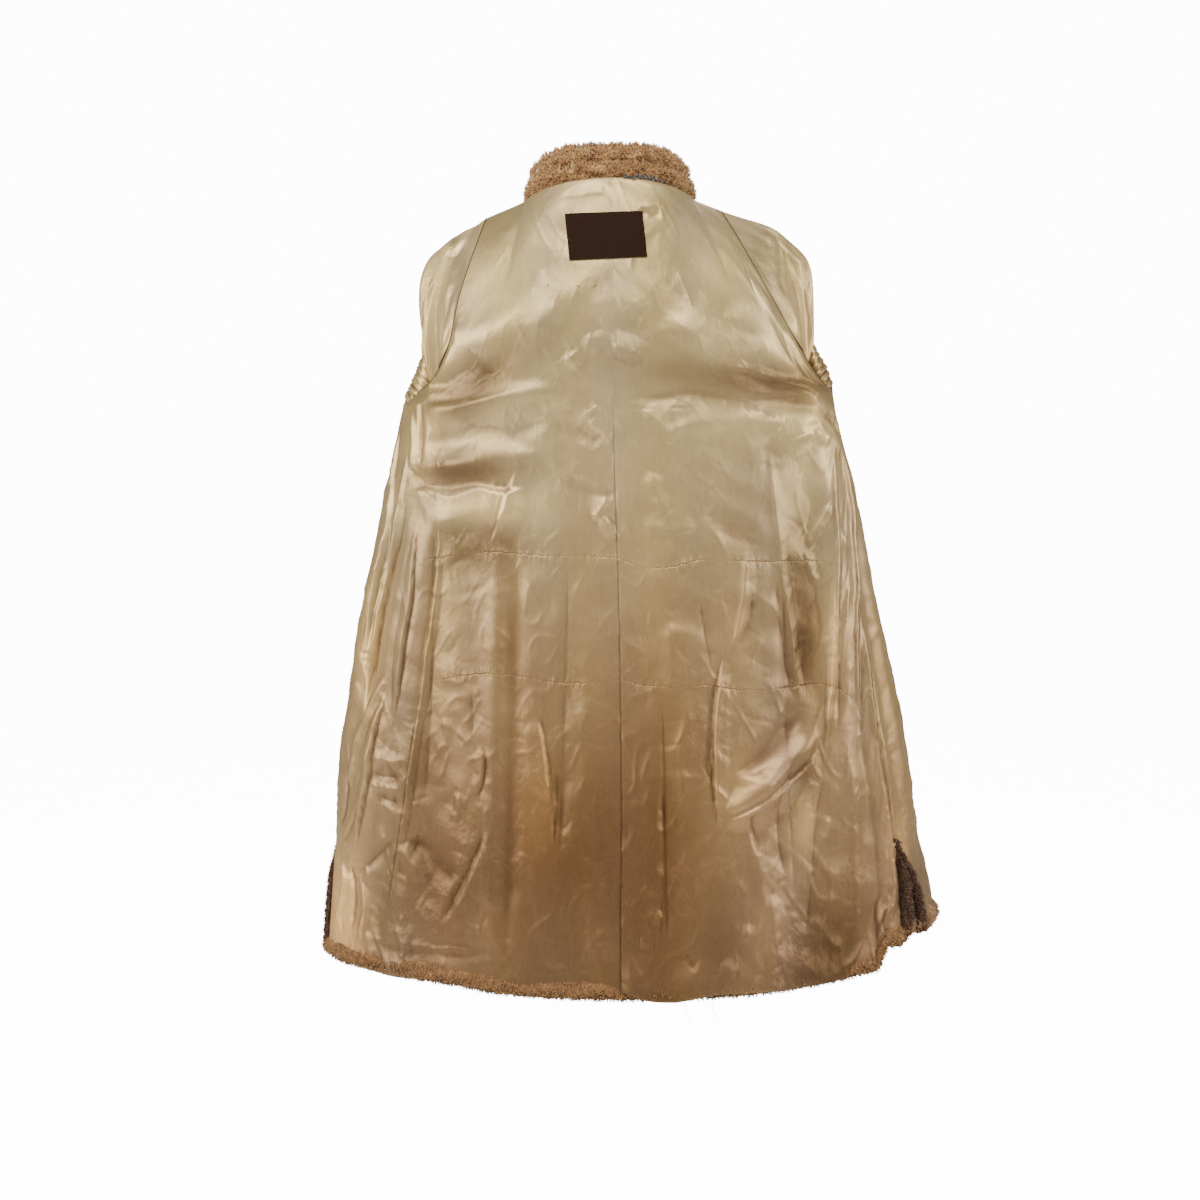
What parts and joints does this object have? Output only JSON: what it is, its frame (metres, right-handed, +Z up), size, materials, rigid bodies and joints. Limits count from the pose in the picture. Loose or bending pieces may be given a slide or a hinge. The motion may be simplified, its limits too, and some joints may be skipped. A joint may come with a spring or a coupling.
{
  "type": "sheared raccoon fur coat, worn inside out",
  "caption": "Hollow collared coat with side vents, worn inside out on a general figure: satin lining outside, sheared fur inside and sleeves hanging inside the body.",
  "frame": {"origin": "the nape: the neck seam at the centre back, where the shoulders carry the coat", "axes": "+Z up along the coat, the coat's back towards -Y, its front opening towards +Y, the wearer's left side towards -X"},
  "size_m": [0.8596, 0.4338, 1.1344],
  "materials": {
    "fur": "dense sheared fur, mottled tan and dark brown, matt",
    "lining": "changeant satin, pale gold over taupe, soft vertical creases",
    "label": "dark brown woven patch, bare"
  },
  "bodies": {
    "root": {"fur_back": "fur", "fur_front_left": "fur", "fur_front_right": "fur", "fur_sleeve_left": "fur", "fur_sleeve_right": "fur", "fur_collar": "fur", "lining_back_left": "lining", "lining_back_right": "lining", "lining_front_left": "lining", "lining_front_right": "lining", "lining_sleeve_left": "lining", "lining_sleeve_right": "lining", "label": "label"}
  },
  "joints": []
}
